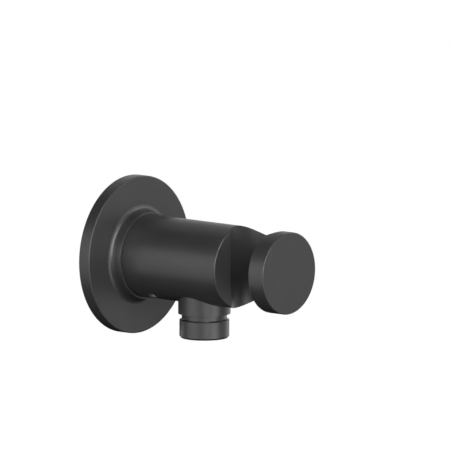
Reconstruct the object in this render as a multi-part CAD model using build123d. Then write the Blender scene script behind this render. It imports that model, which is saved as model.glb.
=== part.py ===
import os
from math import radians, sqrt, tan

from build123d import *

os.makedirs("parts", exist_ok=True)

# Wall outlet elbow for a shower hose, with a cradle for the hand shower.
# The origin is the centre of the rosette's back, on the barrel's axis. The wall
# is the plane Y = 0 and lies on the +Y side, the barrel comes out along -Y, +Z
# is up, the hose outlet points down and the cradle's slot opens towards -X.
# All sizes are millimetres. A "reach" is a distance from the wall along -Y.

# Body: barrel, neck and front disc, machined from one round bar
bar_dia = 34.77
body_standoff = 3.0
rear_edge_chamfer = 0.4
socket_to_outlet = 10.82
outlet_to_slot = 19.86
slot_width = 18.05
disc_thickness = 8.24
disc_edge_round = 0.4
slot_edge_round = 0.5
channel_dia = 14.0
drill_point_angle = 59.0

# Cradle: a cone reamed down through the bar for the hand shower's hose nut
cradle_dia = 23.6
cradle_half_angle = 0.76
cradle_offset = 1.0

# Rosette that slides over the barrel and hides the hole in the wall
rosette_dia = 66.46
rosette_height = 5.38
rosette_wall = 1.2
rosette_edge_round = 0.45
collar_length = 4.72
collar_wall = 0.87
collar_half_angle = 10.0
collar_gap = 0.08
collar_fillet = 2.4
collar_lip_round = 0.1

# Ring in the barrel that grips the rosette, and foam ring behind the rosette
grip_groove_inset = 2.9
grip_groove_width = 2.3
grip_groove_depth = 1.7
wall_seal_width = 3.0
wall_seal_recess = 0.15

# Nipple that screws into the wall and carries the body on its spigot
inlet_thread_dia = 20.955
inlet_thread_length = 14.0
inlet_thread_start = 1.0
inlet_thread_chamfer = 1.2
thread_runout = 1.0
hex_key_size = 12.0
hex_key_depth = 9.0
hex_key_shoulder = 0.25
spigot_wall = 1.02
spigot_nose = 0.8
spigot_clearance = 0.05
socket_end_gap = 0.25
lead_chamfer = 0.6

# Two sealing rings on that spigot
ring_groove_depth = 1.55
ring_groove_width = 2.2
ring_spacing = 3.0
ring_seat_gap = 0.02

# Grub screw that locks the body on the spigot, turned from straight down towards the slot's side
grub_angle = 29.0
grub_to_collar = 7.0
grub_to_ring = 0.4
grub_dia = 5.0
grub_recess = 0.3
grub_point_chamfer = 0.8
grub_key_size = 2.5
grub_key_depth = 2.6
grub_clearance = 0.05
grub_groove_depth = 1.1

# Outlet nipple let into the underside of the barrel
nipple_dia = 22.0
nipple_drop = 3.945
nipple_clearance = 0.05
nipple_spigot_dia = 18.0
nipple_spigot_length = 5.1
nipple_spigot_gap = 0.4
nipple_ring_width = 2.1
nipple_ring_depth = 1.45
throat_dia = 11.5
neck_undercut = 0.98
neck_length = 2.59
neck_wall = 1.97
relief_width = 0.5
relief_depth = 0.8
hose_thread_dia = 20.955
hose_thread_length = 7.68
hose_thread_chamfer = 0.75
hose_thread_top_chamfer = 0.2

# Check valve cartridge pushed into the outlet nipple from below
cartridge_clearance = 0.05
cartridge_drop = 0.8
cartridge_wall = 1.475
seat_width = 1.4
seat_land = 1.25
seat_angle = 45.0
outer_seal_depth = 0.875
outer_seal_width = 1.5
outer_seal_lip = 0.6

# Poppet with its rubber seal
flow_gap = 0.8
flange_thickness = 0.9
nose_height = 1.0
nose_dia = 4.0
seal_reach = 0.3
seal_width = 0.9
seal_edge = 0.55
seal_lip = 0.5
seat_gap = 0.1
poppet_travel = 3.0
stem_dia = 3.0
stem_margin = 1.2

# Guide cage that carries the stem, and the closing spring
guide_clearance = 0.06
guide_hub_wall = 1.04
guide_hub_gap = 0.3
guide_ring_wall = 0.7
guide_height = 3.3
guide_recess = 0.2
spoke_count = 3
spoke_width = 1.3
spring_wire = 0.45
spring_length = 8.0
spring_hub_gap = 0.625
spring_turns = 5
spring_seat_gap = 0.03

# Places along the barrel, in order from the wall
bar_radius = bar_dia / 2
collar_reach = rosette_height + collar_length
collar_bore_radius = bar_radius + collar_gap
grip_groove_reach = collar_reach - grip_groove_inset
grub_reach = collar_reach + grub_to_collar + grub_dia / 2
first_ring_reach = (
    grub_reach + grub_dia / 2 + grub_clearance + grub_groove_depth + grub_to_ring + ring_groove_width / 2
)
last_ring_reach = first_ring_reach + ring_spacing
spigot_reach = last_ring_reach + ring_groove_width / 2 + spigot_nose
socket_reach = spigot_reach + socket_end_gap
outlet_reach = socket_reach + socket_to_outlet
slot_back_y = -(outlet_reach + outlet_to_slot)
disc_back_y = slot_back_y - slot_width
front_y = disc_back_y - disc_thickness
cradle_y = (slot_back_y + disc_back_y) / 2

# Radii of the spigot: the hexagon's corners, a wall, then the ring grooves
ring_floor_radius = hex_key_size / sqrt(3) + spigot_wall
spigot_radius = ring_floor_radius + ring_groove_depth
socket_radius = spigot_radius + spigot_clearance
inlet_bore_radius = hex_key_size / 2 - hex_key_shoulder
grub_seat_radius = spigot_radius - grub_groove_depth
grub_point_radius = grub_seat_radius + grub_clearance
grub_length = bar_radius - grub_recess - grub_point_radius
grub_turn = Rot(0, grub_angle, 0)

# Heights down the outlet, from the water channel to the end of the hose thread
nipple_top_z = -(channel_dia / 2 + nipple_spigot_gap)
nipple_seat_z = nipple_top_z - nipple_spigot_length
nipple_ring_z = (nipple_seat_z + nipple_top_z) / 2
nipple_ring_floor = nipple_spigot_dia / 2 - nipple_ring_depth
port_radius = nipple_spigot_dia / 2 + nipple_clearance
shoulder_z = -(bar_radius + nipple_drop)
thread_top_z = shoulder_z - neck_length
outlet_end_z = thread_top_z - hose_thread_length
neck_radius = hose_thread_dia / 2 - neck_undercut

# Radii and heights inside the cartridge, with the valve closed
cartridge_bore_radius = neck_radius - neck_wall
cartridge_radius = cartridge_bore_radius - cartridge_clearance
housing_bore = cartridge_radius - cartridge_wall
seat_throat = housing_bore - seat_width
flange_radius = housing_bore - flow_gap
seal_top_radius = seat_throat - seal_reach
seal_bore = seal_top_radius - seal_width
stem_bore = stem_dia / 2 + guide_clearance
hub_radius = stem_bore + guide_hub_wall
spring_radius = hub_radius + spring_hub_gap + spring_wire / 2
seat_slope = tan(radians(seat_angle))
cartridge_stop_z = nipple_seat_z - cartridge_drop
housing_top_z = cartridge_stop_z - cartridge_clearance
seat_top_z = housing_top_z - seat_land
seat_end_z = seat_top_z - seat_width * seat_slope
outer_seal_z = housing_top_z - outer_seal_lip - outer_seal_width / 2
seal_top_z = seat_top_z + seal_reach * seat_slope - seat_gap * sqrt(1 + seat_slope**2)
seal_rim_z = seal_top_z - (flange_radius - seal_top_radius) * seat_slope
flange_top_z = seal_rim_z - seal_edge
flange_end_z = flange_top_z - flange_thickness
hub_top_z = flange_end_z - poppet_travel - guide_hub_gap
guide_top_z = flange_end_z - spring_length
guide_end_z = guide_top_z - guide_height
housing_end_z = guide_end_z - guide_recess
stem_end_z = guide_end_z + stem_margin

outlet_axis = Axis((0, -outlet_reach, 0), (0, 0, 1))
outlet_plane = Plane(origin=(0, -outlet_reach, 0), x_dir=(1, 0, 0), z_dir=(0, -1, 0))


def turned_on_barrel(*profile):
    """A piece turned about the barrel's axis, from (radius, y) points."""
    return revolve(make_face(Polyline(*profile, close=True)), axis=Axis.Y)


def turned_on_outlet(*profile):
    """A piece turned about the outlet's axis, from (radius, z) points."""
    face = outlet_plane * make_face(Polyline(*profile, close=True))
    return revolve(face, axis=outlet_axis)


def square_groove(floor_radius, middle, width, depth):
    """Profile of a square groove, cut past the surface that it opens in."""
    top_radius = floor_radius + 2 * depth
    near = middle + width / 2
    far = middle - width / 2
    return (floor_radius, near), (top_radius, near), (top_radius, far), (floor_radius, far)


def rubber_ring_section(floor_radius, wall_radius, middle):
    """Round section that just fills the room between a groove's floor and the wall it seals on."""
    section = (wall_radius - floor_radius) / 2 - ring_seat_gap
    return Pos((wall_radius + floor_radius) / 2, middle) * Circle(section)


def hexagon(across_flats):
    """Hexagon for a socket key, with a flat facing up."""
    return RegularPolygon(across_flats / 2, 6, major_radius=False)


def circle_at(turned, y, rank):
    """A circular edge of a turned piece at one place on the barrel's axis, rank 0 the smallest."""
    near = 0.01
    circles = turned.edges().filter_by(GeomType.CIRCLE).filter_by_position(Axis.Y, y - near, y + near)
    return circles.sort_by(SortBy.RADIUS)[rank]


def edges_left_by_the_slot(bar):
    """Every curved edge that lies on the bar's own surface between barrel and disc."""
    near = 0.01
    return [
        edge
        for edge in bar.edges()
        if edge.geom_type != GeomType.LINE
        and disc_back_y - near < (edge @ 0.5).Y < slot_back_y + near
        and abs((edge @ 0.5).X ** 2 + (edge @ 0.5).Z ** 2 - bar_radius**2) < near
    ]


def make_body():
    """Barrel, neck and disc, with the cradle milled across and the water way drilled in."""
    overrun = 1.0
    bar = turned_on_barrel(
        (0, -body_standoff), (bar_radius, -body_standoff), (bar_radius, front_y), (0, front_y)
    )
    bar = chamfer(circle_at(bar, -body_standoff, -1), rear_edge_chamfer)
    bar = fillet(circle_at(bar, front_y, -1), disc_edge_round)

    # The slot lets the hose in from the side, and the cone below it seats its nut
    cutter_height = bar_dia + 2 * overrun
    cone_change = cutter_height / 2 * tan(radians(cradle_half_angle))
    cone = Cone(cradle_dia / 2 - cone_change, cradle_dia / 2 + cone_change, cutter_height)
    slot_length = bar_radius + overrun + cradle_offset
    slot = Box(slot_length, slot_width, cutter_height)
    bar -= Pos(cradle_offset - slot_length / 2, cradle_y, 0) * slot
    bar -= Pos(cradle_offset, cradle_y, 0) * cone
    bar = fillet(edges_left_by_the_slot(bar), slot_edge_round)

    # Socket for the wall nipple, then the water channel with its drilled end
    channel_radius = channel_dia / 2
    channel_end_y = -(outlet_reach + channel_radius)
    drill_tip_y = channel_end_y - channel_radius / tan(radians(drill_point_angle))
    water_way = turned_on_barrel(
        (0, -body_standoff + overrun),
        (socket_radius + lead_chamfer + overrun, -body_standoff + overrun),
        (socket_radius, -body_standoff - lead_chamfer),
        (socket_radius, -socket_reach),
        (channel_radius, -socket_reach),
        (channel_radius, channel_end_y),
        (0, drill_tip_y),
    )

    # Stepped port on the underside that the outlet nipple seats in
    counterbore_radius = nipple_dia / 2 + nipple_clearance
    port = turned_on_outlet(
        (0, 0),
        (port_radius, 0),
        (port_radius, nipple_seat_z),
        (counterbore_radius, nipple_seat_z),
        (counterbore_radius, shoulder_z),
        (0, shoulder_z),
    )

    grub_hole_length = bar_radius - socket_radius + 2 * overrun
    grub_hole = Cylinder(grub_dia / 2 + grub_clearance, grub_hole_length)
    grub_hole = grub_turn * Pos(0, -grub_reach, -(socket_radius + bar_radius) / 2) * grub_hole
    grip_groove = turned_on_barrel(
        *square_groove(
            bar_radius - grip_groove_depth, -grip_groove_reach, grip_groove_width, grip_groove_depth
        )
    )
    return bar - water_way - port - grub_hole - grip_groove


def make_rosette():
    """Flat round cover with a short conical collar, hollow and open at the back."""
    rim_radius = rosette_dia / 2
    hollow_radius = rim_radius - rosette_wall
    lip_radius = collar_bore_radius + collar_wall
    foot_radius = lip_radius + collar_length * tan(radians(collar_half_angle))
    hollow_y = rosette_wall - rosette_height
    shell = turned_on_barrel(
        (rim_radius, 0),
        (rim_radius, -rosette_height),
        (foot_radius, -rosette_height),
        (lip_radius, -collar_reach),
        (collar_bore_radius, -collar_reach),
        (collar_bore_radius, hollow_y),
        (hollow_radius, hollow_y),
        (hollow_radius, 0),
    )
    shell = fillet(circle_at(shell, -rosette_height, 0), collar_fillet)
    shell = fillet(circle_at(shell, -rosette_height, -1), rosette_edge_round)
    return fillet(circle_at(shell, -collar_reach, -1), collar_lip_round)


def make_rosette_grip_ring():
    """Rubber ring in the barrel's groove that holds the rosette against the wall."""
    floor_radius = bar_radius - grip_groove_depth
    section = rubber_ring_section(floor_radius, collar_bore_radius, -grip_groove_reach)
    return revolve(section, axis=Axis.Y)


def make_rosette_wall_seal():
    """Foam ring that lies in the rosette's hollow, against its rim."""
    outer = rosette_dia / 2 - rosette_wall - ring_seat_gap
    inner = outer - wall_seal_width
    floor_y = rosette_wall - rosette_height + ring_seat_gap
    return turned_on_barrel(
        (inner, floor_y), (outer, floor_y), (outer, -wall_seal_recess), (inner, -wall_seal_recess)
    )


def make_wall_nipple():
    """Threaded nipple: male thread into the wall, grooved spigot into the body."""
    thread_radius = inlet_thread_dia / 2
    thread_end_y = inlet_thread_length - inlet_thread_start
    nipple = turned_on_barrel(
        (inlet_bore_radius, thread_end_y),
        (thread_radius - inlet_thread_chamfer, thread_end_y),
        (thread_radius, thread_end_y - inlet_thread_chamfer),
        (thread_radius, -inlet_thread_start),
        (spigot_radius, -inlet_thread_start - thread_runout),
        (spigot_radius, lead_chamfer - spigot_reach),
        (spigot_radius - lead_chamfer, -spigot_reach),
        (inlet_bore_radius, -spigot_reach),
    )
    for reach in (first_ring_reach, last_ring_reach):
        nipple -= turned_on_barrel(
            *square_groove(ring_floor_radius, -reach, ring_groove_width, ring_groove_depth)
        )

    # Groove with sloping sides that the grub screw presses into
    floor_half = grub_dia / 2 + grub_clearance
    top_half = floor_half + 2 * grub_groove_depth
    top_radius = grub_seat_radius + 2 * grub_groove_depth
    nipple -= turned_on_barrel(
        (grub_seat_radius, floor_half - grub_reach),
        (top_radius, top_half - grub_reach),
        (top_radius, -top_half - grub_reach),
        (grub_seat_radius, -floor_half - grub_reach),
    )
    key_plane = Plane(origin=(0, -spigot_reach, 0), x_dir=(1, 0, 0), z_dir=(0, 1, 0))
    return nipple - extrude(key_plane * hexagon(hex_key_size), hex_key_depth)


def make_wall_nipple_ring(reach):
    """Rubber ring in one of the grooves of the wall nipple's spigot."""
    section = rubber_ring_section(ring_floor_radius, socket_radius, -reach)
    return revolve(section, axis=Axis.Y)


def make_grub_screw():
    """Socket set screw with a chamfered point, standing in the spigot's groove."""
    screw = Cylinder(grub_dia / 2, grub_length, align=(Align.CENTER, Align.CENTER, Align.MAX))
    point_edge = screw.edges().filter_by(GeomType.CIRCLE).sort_by(Axis.Z)[-1]
    screw = chamfer(point_edge, grub_point_chamfer)
    screw -= Pos(0, 0, -grub_length) * extrude(hexagon(grub_key_size), grub_key_depth)
    return grub_turn * Pos(0, -grub_reach, -grub_point_radius) * screw


def make_outlet_nipple():
    """Stepped nipple: spigot in the body, plain collar, neck, relief groove and hose thread."""
    spigot = nipple_spigot_dia / 2
    thread = hose_thread_dia / 2
    relief_radius = neck_radius - relief_depth
    nipple = turned_on_outlet(
        (throat_dia / 2, nipple_top_z),
        (spigot - lead_chamfer, nipple_top_z),
        (spigot, nipple_top_z - lead_chamfer),
        (spigot, nipple_seat_z),
        (nipple_dia / 2, nipple_seat_z),
        (nipple_dia / 2, shoulder_z),
        (neck_radius, shoulder_z),
        (neck_radius, thread_top_z + relief_width),
        (relief_radius, thread_top_z + relief_width),
        (relief_radius, thread_top_z),
        (thread - hose_thread_top_chamfer, thread_top_z),
        (thread, thread_top_z - hose_thread_top_chamfer),
        (thread, outlet_end_z + hose_thread_chamfer),
        (thread - hose_thread_chamfer, outlet_end_z),
        (cartridge_bore_radius + lead_chamfer, outlet_end_z),
        (cartridge_bore_radius, outlet_end_z + lead_chamfer),
        (cartridge_bore_radius, cartridge_stop_z),
        (throat_dia / 2, cartridge_stop_z),
    )
    return nipple - turned_on_outlet(
        *square_groove(nipple_ring_floor, nipple_ring_z, nipple_ring_width, nipple_ring_depth)
    )


def make_outlet_nipple_ring():
    """Rubber ring that seals the nipple's spigot in the body."""
    section = rubber_ring_section(nipple_ring_floor, port_radius, nipple_ring_z)
    return revolve(outlet_plane * section, axis=outlet_axis)


def make_valve_housing():
    """Cartridge tube with a conical seat near its top and a groove for its outer ring."""
    housing = turned_on_outlet(
        (seat_throat, housing_top_z),
        (cartridge_radius, housing_top_z),
        (cartridge_radius, housing_end_z),
        (housing_bore, housing_end_z),
        (housing_bore, seat_end_z),
        (seat_throat, seat_top_z),
    )
    floor_radius = cartridge_radius - outer_seal_depth
    return housing - turned_on_outlet(
        *square_groove(floor_radius, outer_seal_z, outer_seal_width, outer_seal_depth)
    )


def make_valve_housing_ring():
    """Rubber ring that seals and holds the cartridge in the outlet nipple."""
    floor_radius = cartridge_radius - outer_seal_depth
    section = rubber_ring_section(floor_radius, cartridge_bore_radius, outer_seal_z)
    return revolve(outlet_plane * section, axis=outlet_axis)


def make_valve_poppet():
    """Valve disc with a tapered nose above and a guide stem below."""
    lip_z = seal_top_z + ring_seat_gap
    nose_z = lip_z + nose_height
    return turned_on_outlet(
        (0, nose_z),
        (nose_dia / 2, nose_z),
        (seal_bore + seal_lip, lip_z),
        (seal_bore - ring_seat_gap, lip_z),
        (seal_bore - ring_seat_gap, flange_top_z),
        (flange_radius, flange_top_z),
        (flange_radius, flange_end_z),
        (stem_dia / 2, flange_end_z),
        (stem_dia / 2, stem_end_z),
        (0, stem_end_z),
    )


def make_valve_poppet_seal():
    """Rubber ring on the poppet whose sloping face closes on the seat."""
    under_z = flange_top_z + ring_seat_gap
    return turned_on_outlet(
        (seal_bore, seal_top_z),
        (seal_top_radius, seal_top_z),
        (flange_radius, seal_rim_z),
        (flange_radius, under_z),
        (seal_bore, under_z),
    )


def make_valve_guide():
    """Ring with spokes and a long hub that the poppet's stem slides in."""
    ring_outer = housing_bore - cartridge_clearance
    ring_inner = ring_outer - guide_ring_wall
    cage = turned_on_outlet(
        (ring_inner, guide_top_z),
        (ring_outer, guide_top_z),
        (ring_outer, guide_end_z),
        (ring_inner, guide_end_z),
    )
    cage += turned_on_outlet(
        (stem_bore, hub_top_z),
        (hub_radius, hub_top_z),
        (hub_radius, guide_end_z),
        (stem_bore, guide_end_z),
    )
    inner_end = hub_radius - guide_hub_wall / 2
    outer_end = ring_outer - guide_ring_wall / 2
    spoke = Box(outer_end - inner_end, spoke_width, guide_height)
    spoke = Pos((inner_end + outer_end) / 2, 0, 0) * spoke
    middle = Pos(0, -outlet_reach, (guide_top_z + guide_end_z) / 2)
    for number in range(spoke_count):
        cage += middle * Rot(0, 0, 90 + number * 360 / spoke_count) * spoke
    return cage


def make_valve_spring():
    """Closing spring between the poppet's disc and the spokes of the guide."""
    inset = spring_wire / 2 + spring_seat_gap
    height = spring_length - 2 * inset
    path = Helix(height / spring_turns, height, spring_radius)
    wire_section = Plane(origin=path @ 0, z_dir=path % 0) * Circle(spring_wire / 2)
    return Pos(0, -outlet_reach, guide_top_z + inset) * sweep(wire_section, path=path, is_frenet=True)


pieces = {
    "body": make_body(),
    "rosette": make_rosette(),
    "rosette_grip_ring": make_rosette_grip_ring(),
    "rosette_wall_seal": make_rosette_wall_seal(),
    "wall_nipple": make_wall_nipple(),
    "wall_nipple_ring_rear": make_wall_nipple_ring(first_ring_reach),
    "wall_nipple_ring_front": make_wall_nipple_ring(last_ring_reach),
    "grub_screw": make_grub_screw(),
    "outlet_nipple": make_outlet_nipple(),
    "outlet_nipple_ring": make_outlet_nipple_ring(),
    "valve_housing": make_valve_housing(),
    "valve_housing_ring": make_valve_housing_ring(),
    "valve_guide": make_valve_guide(),
    "valve_poppet": make_valve_poppet(),
    "valve_poppet_seal": make_valve_poppet_seal(),
    "valve_spring": make_valve_spring(),
}

for node, piece in pieces.items():
    export_step(piece, f"parts/{node}.step")
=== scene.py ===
import math

import bmesh
import bpy
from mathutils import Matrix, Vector


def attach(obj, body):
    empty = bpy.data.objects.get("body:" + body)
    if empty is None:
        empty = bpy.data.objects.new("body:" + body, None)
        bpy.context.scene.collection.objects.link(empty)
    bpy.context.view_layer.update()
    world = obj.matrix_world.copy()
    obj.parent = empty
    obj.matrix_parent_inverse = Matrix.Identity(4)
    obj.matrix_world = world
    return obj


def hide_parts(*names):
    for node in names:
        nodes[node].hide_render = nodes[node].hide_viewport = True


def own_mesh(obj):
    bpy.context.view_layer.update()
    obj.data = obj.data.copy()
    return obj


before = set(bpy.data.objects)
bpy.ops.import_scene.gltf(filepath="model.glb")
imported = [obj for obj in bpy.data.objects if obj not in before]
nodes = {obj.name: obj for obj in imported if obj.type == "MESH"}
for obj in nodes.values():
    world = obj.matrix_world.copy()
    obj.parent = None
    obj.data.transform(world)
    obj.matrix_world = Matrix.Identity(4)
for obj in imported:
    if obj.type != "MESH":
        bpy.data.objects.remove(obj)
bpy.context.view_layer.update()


# Camera: the photo has no perspective, so the view is orthographic, from the slot side and a
# little from above. The frame's middle lies right of the rosette's centre and above it. Here and
# on the fitting lengths are in millimetres.
mm = 0.001
photo_pixels = 450
pixels_per_mm = 2.384
view_azimuth = math.radians(-50.466)
view_height = math.radians(8.910)
middle_right = 40.068
middle_up = 11.827
camera_distance = 500

camera = bpy.data.objects.new("camera", bpy.data.cameras.new("camera"))
camera.data.type = "ORTHO"
camera.data.ortho_scale = photo_pixels / pixels_per_mm * mm
camera.rotation_euler = (math.pi / 2 - view_height, 0, view_azimuth)
camera_offset = Vector((middle_right, middle_up, camera_distance)) * mm
camera.location = camera.rotation_euler.to_matrix() @ camera_offset
bpy.context.scene.collection.objects.link(camera)
bpy.context.scene.camera = camera


# Wall nipple: turned from brass bar and left bare, because the rosette hides it. Its G1/2 thread
# screws into the socket in the wall, and the body slides over its spigot. The hexagon socket in
# the spigot's end takes the key that turns it.
inch = 25.4
threads_per_inch = 14
thread_pitch = inch / threads_per_inch
thread_crest = 10.4775
thread_depth = 1.162
thread_root = thread_crest - thread_depth
nipple_end = 13.0
nipple_chamfer = 1.2
water_bore = 5.75
bore_chamfer = 0.3
root_chamfer = 0.15
spigot_radius = 9.5
spigot_start = -1.95
spigot_end = -29.65
spigot_chamfer = 0.6
neck_chamfer = 0.2
neck_start = -1.5
grub_groove_rear = -15.95
grub_groove_front = -23.25
grub_groove_floor = 8.4
ring_groove_rear = -23.65
ring_groove_width = 2.2
ring_spacing = 3.0
ring_floor = 7.948
key_half_width = 6.0
key_floor = -20.65
lathe_steps = 96
noise_low = 0.3
noise_high = 0.7


def lathe_turned(profile, steps):
    """A ring of (radius, y) points in millimetres, turned about the barrel's axis."""
    turned = bmesh.new()
    points = [turned.verts.new((radius * mm, y * mm, 0)) for radius, y in profile]
    lines = [turned.edges.new(pair) for pair in zip(points, points[1:] + points[:1])]
    bmesh.ops.spin(
        turned, geom=points + lines, cent=(0, 0, 0), axis=(0, 1, 0), angle=2 * math.pi, steps=steps,
        use_merge=True,
    )
    return turned


def finished_piece(name, mesh, body, material, crease=35):
    """Makes the object from its mesh, smooth but for the edges that are sharper than the crease."""
    bmesh.ops.recalc_face_normals(mesh, faces=mesh.faces)
    data = bpy.data.meshes.new(name)
    mesh.to_mesh(data)
    mesh.free()
    data.shade_smooth()
    data.set_sharp_from_angle(angle=math.radians(crease))
    data.materials.append(material)
    piece = bpy.data.objects.new(name, data)
    bpy.context.scene.collection.objects.link(piece)
    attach(piece, body)
    return piece


def surface(name, metallic, specular):
    """A new material, with its node tree, its shader and the object's own coordinates."""
    material = bpy.data.materials.new(name)
    material.use_nodes = True
    tree = material.node_tree
    shader = tree.nodes["Principled BSDF"]
    shader.inputs["Metallic"].default_value = metallic
    shader.inputs["Specular IOR Level"].default_value = specular
    return material, tree, shader, tree.nodes.new("ShaderNodeTexCoord").outputs["Object"]


def grain(tree, place, size, stretch=(1, 1, 1), detail=2.0, roughness=0.5):
    """Noise whose blobs are about that size in millimetres, drawn out where stretch is small."""
    mapping = tree.nodes.new("ShaderNodeMapping")
    mapping.inputs["Scale"].default_value = stretch
    noise = tree.nodes.new("ShaderNodeTexNoise")
    noise.inputs["Scale"].default_value = 1 / (size * mm)
    noise.inputs["Detail"].default_value = detail
    noise.inputs["Roughness"].default_value = roughness
    tree.links.new(place, mapping.inputs["Vector"])
    tree.links.new(mapping.outputs["Vector"], noise.inputs["Vector"])
    return noise.outputs["Fac"]


def spread(tree, factor, low, high, start=noise_low, end=noise_high):
    """Turns a factor that goes from start to end into values from low to high."""
    ranged = tree.nodes.new("ShaderNodeMapRange")
    ranged.inputs["From Min"].default_value = start
    ranged.inputs["From Max"].default_value = end
    ranged.inputs["To Min"].default_value = low
    ranged.inputs["To Max"].default_value = high
    tree.links.new(factor, ranged.inputs["Value"])
    return ranged.outputs["Result"]


def blotched(tree, factor, dark, light):
    """Colour that runs from dark to light as the factor grows."""
    ramp = tree.nodes.new("ShaderNodeValToRGB")
    first, last = ramp.color_ramp.elements
    first.position = noise_low
    first.color = (*dark, 1)
    last.position = noise_high
    last.color = (*light, 1)
    tree.links.new(factor, ramp.inputs["Fac"])
    return ramp.outputs["Color"]


def bumped(tree, height, depth, strength, below=None):
    """Bump of that depth in millimetres, on top of another bump if there is one."""
    bump = tree.nodes.new("ShaderNodeBump")
    bump.inputs["Strength"].default_value = strength
    bump.inputs["Distance"].default_value = depth * mm
    tree.links.new(height, bump.inputs["Height"])
    if below:
        tree.links.new(below, bump.inputs["Normal"])
    return bump.outputs["Normal"]


def given(tree, shader, colour, roughness, relief):
    """Gives the shader what varies over the surface."""
    tree.links.new(colour, shader.inputs["Base Color"])
    tree.links.new(roughness, shader.inputs["Roughness"])
    tree.links.new(relief, shader.inputs["Normal"])


brass, tree, shader, place = surface("turned_brass", metallic=1.0, specular=0.5)
tool_marks = grain(tree, place, size=0.12, stretch=(0.02, 1, 0.02), detail=3.0)
handling = grain(tree, place, size=6.0)
given(
    tree, shader,
    colour=blotched(tree, handling, dark=(0.50, 0.35, 0.13), light=(0.66, 0.49, 0.21)),
    roughness=spread(tree, tool_marks, low=0.22, high=0.36),
    relief=bumped(tree, tool_marks, depth=0.01, strength=0.4),
)

ring_grooves = []
for groove_rear in (ring_groove_rear, ring_groove_rear - ring_spacing):
    groove_front = groove_rear - ring_groove_width
    ring_grooves += [(spigot_radius, groove_rear), (ring_floor, groove_rear)]
    ring_grooves += [(ring_floor, groove_front), (spigot_radius, groove_front)]
grub_groove_slope = spigot_radius - grub_groove_floor

nipple = lathe_turned(
    [
        (water_bore, nipple_end - bore_chamfer), (water_bore + bore_chamfer, nipple_end),
        (thread_root - root_chamfer, nipple_end), (thread_root, nipple_end - root_chamfer),
        (thread_root, neck_start), (spigot_radius - neck_chamfer, spigot_start + neck_chamfer),
        (spigot_radius, spigot_start), (spigot_radius, grub_groove_rear),
        (grub_groove_floor, grub_groove_rear - grub_groove_slope),
        (grub_groove_floor, grub_groove_front + grub_groove_slope),
        (spigot_radius, grub_groove_front), *ring_grooves,
        (spigot_radius, spigot_end + spigot_chamfer), (spigot_radius - spigot_chamfer, spigot_end),
        (key_half_width, spigot_end), (key_half_width, key_floor), (water_bore, key_floor),
    ],
    lathe_steps,
)

# The key's socket is turned round, and its wall is then moved out to the hexagon's flats.
hexagon_sector = math.pi / 3
same_place = 0.01
for point in nipple.verts:
    radius = math.hypot(point.co.x, point.co.z)
    if abs(radius - key_half_width * mm) < same_place * mm:
        turn = math.atan2(point.co.z, point.co.x) % hexagon_sector - hexagon_sector / 2
        point.co.x /= math.cos(turn)
        point.co.z /= math.cos(turn)
wall_nipple = finished_piece("wall_nipple_turned", nipple, "fitting", brass)
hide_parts("wall_nipple")

# Its thread: a ridge with the 55 degree flanks of a pipe thread, cut off square at the relief
# groove and bevelled with the nipple's end, so that it starts easily in the socket.
thread_start = -1.0
thread_end_inset = 0.02
thread_turns = 9
thread_steps = 72
flank_angle = math.radians(55 / 2)
ridge_sunk = 0.15
crest_half = 0.17
crest_edge_drop = 0.08
crest_edge_out = 0.04
crest_edge_in = 0.06
flank_half = crest_half + thread_depth * math.tan(flank_angle)


def wound(section, centre, axis, turns, rise, steps):
    """A closed section wound into a helix with that rise a turn, in metres."""
    helix = bmesh.new()
    face = helix.faces.new([helix.verts.new(point) for point in section])
    bmesh.ops.spin(
        helix, geom=[face], cent=centre, axis=axis, dvec=Vector(axis) * rise / steps,
        angle=2 * math.pi * turns, steps=int(turns * steps),
    )
    return helix


lower_half = [
    (thread_root - ridge_sunk, -flank_half), (thread_root, -flank_half),
    (thread_crest - crest_edge_drop, -crest_half - crest_edge_out),
    (thread_crest, -crest_half + crest_edge_in),
]
ridge = lower_half + [(radius, -y) for radius, y in reversed(lower_half)]
first_turn = thread_start - thread_pitch
thread = wound(
    [(radius * mm, (first_turn + y) * mm, 0) for radius, y in ridge],
    (0, 0, 0), (0, 1, 0), thread_turns, thread_pitch * mm, thread_steps,
)
for height, side in ((thread_start, -1), (nipple_end - thread_end_inset, 1)):
    cut = bmesh.ops.bisect_plane(
        thread, geom=thread.verts[:] + thread.edges[:] + thread.faces[:], plane_co=(0, height * mm, 0),
        plane_no=(0, side, 0), clear_outer=True,
    )
    rim = [edge for edge in cut["geom_cut"] if isinstance(edge, bmesh.types.BMEdge)]
    bmesh.ops.holes_fill(thread, edges=rim)
for point in thread.verts:
    radius = math.hypot(point.co.x, point.co.z)
    bevel = (thread_crest - nipple_chamfer + nipple_end) * mm - point.co.y
    if radius > bevel:
        point.co.x *= bevel / radius
        point.co.z *= bevel / radius
finished_piece("wall_nipple_thread", thread, "fitting", brass, crease=50)


def dressed(name, material):
    """Gives a piece that is shown as it is in the frame its material."""
    nodes[name].data.materials.clear()
    nodes[name].data.materials.append(material)


rubber, tree, shader, place = surface("moulded_rubber", metallic=0.0, specular=0.4)
skin = grain(tree, place, size=0.25, detail=4.0)
given(
    tree, shader,
    colour=blotched(tree, skin, dark=(0.013, 0.013, 0.014), light=(0.024, 0.024, 0.025)),
    roughness=spread(tree, skin, low=0.52, high=0.68),
    relief=bumped(tree, skin, depth=0.02, strength=0.3),
)
dressed("wall_nipple_ring_rear", rubber)
dressed("wall_nipple_ring_front", rubber)


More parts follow.
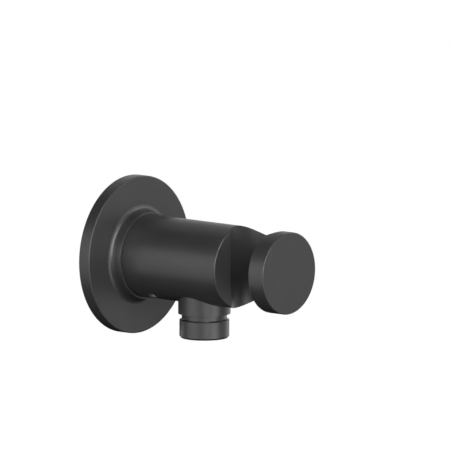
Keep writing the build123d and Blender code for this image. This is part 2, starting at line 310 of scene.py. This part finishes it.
# Body: one brass bar, turned, milled and bored, then coated matt black all over. The coat is
# thin and even, with a very fine grain, and it lets the edges of the cradle show as crisp lines.
coating, tree, shader, place = surface("matt_black_coat", metallic=0.0, specular=0.5)
coat_grain = grain(tree, place, size=0.09, detail=3.0, roughness=0.6)
coat_flow = grain(tree, place, size=2.2, detail=2.0)
coat_cloud = grain(tree, place, size=14.0, detail=1.0)
fine_relief = bumped(tree, coat_grain, depth=0.004, strength=0.35)
given(
    tree, shader,
    colour=blotched(tree, coat_cloud, dark=(0.0235, 0.0235, 0.0240), light=(0.0270, 0.0270, 0.0275)),
    roughness=spread(tree, coat_grain, low=0.35, high=0.41),
    relief=bumped(tree, coat_flow, depth=0.004, strength=0.25, below=fine_relief),
)
dressed("body", coating)


# Grub screw: a steel set screw with a hexagon socket, turned in from the underside until it
# stands in the spigot's groove. Only its socket end shows, just below the barrel's surface.
steel, tree, shader, place = surface("screw_steel", metallic=1.0, specular=0.5)
scale = grain(tree, place, size=0.6, detail=3.0)
given(
    tree, shader,
    colour=blotched(tree, scale, dark=(0.40, 0.40, 0.41), light=(0.56, 0.56, 0.57)),
    roughness=spread(tree, scale, low=0.30, high=0.46),
    relief=bumped(tree, scale, depth=0.01, strength=0.2),
)
dressed("grub_screw", steel)


# Rosette: turned from brass, hollow at the back, and coated like the body. A rubber ring in the
# barrel grips it, and a foam ring lies in its hollow against the rim.
dressed("rosette", coating)
dressed("rosette_grip_ring", rubber)

foam, tree, shader, place = surface("sealing_foam", metallic=0.0, specular=0.2)
cell_size = 0.45
cells = tree.nodes.new("ShaderNodeTexVoronoi")
cells.inputs["Scale"].default_value = 1 / (cell_size * mm)
tree.links.new(place, cells.inputs["Vector"])
pores = spread(tree, cells.outputs["Distance"], low=0.0, high=1.0, start=0.1, end=0.6)
given(
    tree, shader,
    colour=blotched(tree, pores, dark=(0.010, 0.010, 0.011), light=(0.035, 0.035, 0.036)),
    roughness=spread(tree, pores, low=0.95, high=0.80),
    relief=bumped(tree, pores, depth=0.12, strength=0.8),
)
dressed("rosette_wall_seal", foam)


# Outlet nipple: a stepped brass nipple in the same coat, screwed into the underside of the barrel
# with a rubber ring. The hose's nut goes on the ring at its lower end.
dressed("outlet_nipple", coating)
dressed("outlet_nipple_ring", rubber)


# Check valve: a cartridge of moulded plastic with its own rubber ring, pushed into the outlet
# nipple from below. Its poppet has a rubber seal, and its stem slides in a spoked guide.
plastic, tree, shader, place = surface("valve_plastic", metallic=0.0, specular=0.5)
moulded = grain(tree, place, size=0.2, detail=3.0)
tint = grain(tree, place, size=5.0)
given(
    tree, shader,
    colour=blotched(tree, tint, dark=(0.56, 0.57, 0.56), light=(0.66, 0.67, 0.66)),
    roughness=spread(tree, moulded, low=0.34, high=0.46),
    relief=bumped(tree, moulded, depth=0.006, strength=0.25),
)
dressed("valve_housing", plastic)
dressed("valve_guide", plastic)
dressed("valve_poppet", plastic)
dressed("valve_housing_ring", rubber)
dressed("valve_poppet_seal", rubber)


# Valve spring: drawn stainless wire, wound into a helix that stands between the guide's spokes
# and the poppet's disc. In the valve it shortens as the poppet opens; here it is drawn at one length.
wire_radius = 0.225
wire_sides = 12
wire_clearance = 0.03
coil_radius = 3.45
coil_steps = 48
spring_foot = -24.79
spring_length = 8.0
spring_turns = 5
outlet_place = (0, -40.72 * mm, 0)

wire, tree, shader, place = surface("drawn_wire", metallic=1.0, specular=0.5)
drawing = grain(tree, place, size=0.15, detail=3.0)
given(
    tree, shader,
    colour=blotched(tree, drawing, dark=(0.48, 0.48, 0.49), light=(0.62, 0.62, 0.63)),
    roughness=spread(tree, drawing, low=0.20, high=0.32),
    relief=bumped(tree, drawing, depth=0.003, strength=0.3),
)

wire_inset = wire_radius + wire_clearance
wire_section = []
for side in range(wire_sides):
    turn = 2 * math.pi * side / wire_sides
    radius = coil_radius + wire_radius * math.cos(turn)
    height = spring_foot + wire_inset + wire_radius * math.sin(turn)
    wire_section.append((radius * mm, outlet_place[1], height * mm))
coil_rise = (spring_length - 2 * wire_inset) / spring_turns * mm
coil = wound(wire_section, outlet_place, (0, 0, 1), spring_turns, coil_rise, coil_steps)
spring = finished_piece("valve_spring_wire", coil, "fitting", wire, crease=60)
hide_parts("valve_spring")
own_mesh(spring)


# Floor: a wide sheet of pale paper below the fitting, which takes its shadow. Far out it turns as
# white as the surroundings, so that its rim doesn't show. The studio's lengths are in metres.
floor_height = -0.45
floor_radius = 2.2
floor_sides = 96
white_from = 0.9
white_at = 1.9

floor_mesh = bmesh.new()
bmesh.ops.create_circle(floor_mesh, cap_ends=True, segments=floor_sides, radius=floor_radius)
bmesh.ops.translate(floor_mesh, verts=floor_mesh.verts, vec=(0, 0, floor_height))


def staged(name, mesh, material):
    """Makes an object of the studio, which isn't part of the fitting."""
    data = bpy.data.meshes.new(name)
    mesh.to_mesh(data)
    mesh.free()
    data.materials.append(material)
    thing = bpy.data.objects.new(name, data)
    bpy.context.scene.collection.objects.link(thing)
    return thing


def seen_rays(tree):
    """1 for the rays of the camera, of reflections and of glass, and 0 for the others."""
    rays = tree.nodes.new("ShaderNodeLightPath")
    total = rays.outputs["Is Camera Ray"]
    for kind in ("Is Glossy Ray", "Is Transmission Ray"):
        add = tree.nodes.new("ShaderNodeMath")
        add.use_clamp = True
        tree.links.new(total, add.inputs[0])
        tree.links.new(rays.outputs[kind], add.inputs[1])
        total = add.outputs["Value"]
    return total


paper, tree, shader, place = surface("floor_paper", metallic=0.0, specular=0.2)
fibres = grain(tree, place, size=3.0)
paper_colour = blotched(tree, fibres, dark=(0.80, 0.80, 0.80), light=(0.84, 0.84, 0.84))
tree.links.new(paper_colour, shader.inputs["Base Color"])
shader.inputs["Roughness"].default_value = 0.9
glow = tree.nodes.new("ShaderNodeEmission")
distance = tree.nodes.new("ShaderNodeVectorMath")
distance.operation = "LENGTH"
tree.links.new(place, distance.inputs[0])
farness = spread(tree, distance.outputs["Value"], low=0.0, high=1.0, start=white_from, end=white_at)
share = tree.nodes.new("ShaderNodeMath")
share.operation = "MULTIPLY"
tree.links.new(farness, share.inputs[0])
tree.links.new(seen_rays(tree), share.inputs[1])
blend = tree.nodes.new("ShaderNodeMixShader")
tree.links.new(share.outputs["Value"], blend.inputs["Fac"])
tree.links.new(shader.outputs["BSDF"], blend.inputs[1])
tree.links.new(glow.outputs["Emission"], blend.inputs[2])
tree.links.new(blend.outputs["Shader"], tree.nodes["Material Output"].inputs["Surface"])
staged("floor", floor_mesh, paper)


# Black cards: as in a studio, they stand round the fitting and keep the white surroundings out
# of its coat, but for a band that runs round its slot side, its front and its far side. The
# camera doesn't see them.
card_radius = 1.5
card_sides = 72
card_top = 0.75
card_clearance = 0.01
card_low = floor_height + card_clearance
window_low = -0.06
window_first = math.radians(105)
window_last = math.radians(375)
upright_limit = 0.5

cards = bmesh.new()
bmesh.ops.create_cone(
    cards, cap_ends=True, segments=card_sides, radius1=card_radius, radius2=card_radius,
    depth=card_top - card_low,
)
bmesh.ops.translate(cards, verts=cards.verts, vec=(0, 0, (card_top + card_low) / 2))
bmesh.ops.bisect_plane(
    cards, geom=cards.verts[:] + cards.edges[:] + cards.faces[:], plane_co=(0, 0, window_low),
    plane_no=(0, 0, 1),
)
window = []
for face in cards.faces:
    centre = face.calc_center_median()
    turn = (math.atan2(centre.y, centre.x) - window_first) % (2 * math.pi)
    in_window = centre.z > window_low and turn < window_last - window_first
    if abs(face.normal.z) < upright_limit and in_window:
        window.append(face)
bmesh.ops.delete(cards, geom=window, context="FACES")

velvet, tree, shader, place = surface("card_velvet", metallic=0.0, specular=0.0)
pile = grain(tree, place, size=2.0)
velvet_colour = blotched(tree, pile, dark=(0.004, 0.004, 0.004), light=(0.008, 0.008, 0.008))
tree.links.new(velvet_colour, shader.inputs["Base Color"])
shader.inputs["Roughness"].default_value = 1.0
black_cards = staged("black_cards", cards, velvet)
black_cards.visible_camera = False
black_cards.visible_shadow = False
black_cards.visible_transmission = False


# Lamps: square softboxes at one distance all round. Each row gives a lamp's height and turn in
# degrees, seen from the barrel's middle, and its brightness. The front lamps light the disc and the
# barrel from the slot side, and the weak ones fill the rims, the underside and the far side.
lamp_distance = 0.8
lamp_side = 0.40
lamp_aim = Vector((0, -0.045, 0))
lamps = [
    ("front_high", 40, 240, 7.0),
    ("front", 12, 240, 5.5),
    ("front_slot_side", 12, 225, 5.0),
    ("front_low", -16, 270, 4.0),
    ("far_side_high", 40, 330, 3.0),
    ("slot_side", 12, 165, 2.5),
    ("slot_side_low", -16, 180, 1.5),
    ("slot_side_rear_low", -16, 150, 1.5),
    ("far_side_low", -16, 0, 1.5),
    ("rear_low", -16, 90, 1.5),
    ("far_side_rear", 12, 45, 1.0),
    ("front_far_side", 12, 330, 0.5),
    ("front_far_side_low", -16, 330, 0.5),
    ("rear_high", 40, 60, 0.5),
]
for name, height, turn, brightness in lamps:
    lamp = bpy.data.lights.new(f"softbox_{name}", "AREA")
    lamp.shape = "SQUARE"
    lamp.size = lamp_side
    lamp.energy = brightness * math.pi * lamp_side**2
    softbox = bpy.data.objects.new(f"softbox_{name}", lamp)
    up = math.radians(height)
    side = math.radians(turn)
    way = Vector((math.cos(side) * math.cos(up), math.sin(side) * math.cos(up), math.sin(up)))
    softbox.location = lamp_aim + way * lamp_distance
    softbox.rotation_euler = way.to_track_quat("Z", "Y").to_euler()
    bpy.context.scene.collection.objects.link(softbox)


# Surroundings: white where they are seen, straight or in a reflection. As a light they are dim,
# and the softboxes do most of the lighting.
white = 1.0
dim = 0.25
world = bpy.data.worlds.new("studio")
world.use_nodes = True
bpy.context.scene.world = world
tree = world.node_tree
background = tree.nodes["Background"]
background.inputs["Color"].default_value = (1, 1, 1, 1)
strength = spread(tree, seen_rays(tree), low=dim, high=white, start=0.0, end=1.0)
tree.links.new(strength, background.inputs["Strength"])

# The tones are shown as they are rendered.
bpy.context.scene.view_settings.view_transform = "Standard"
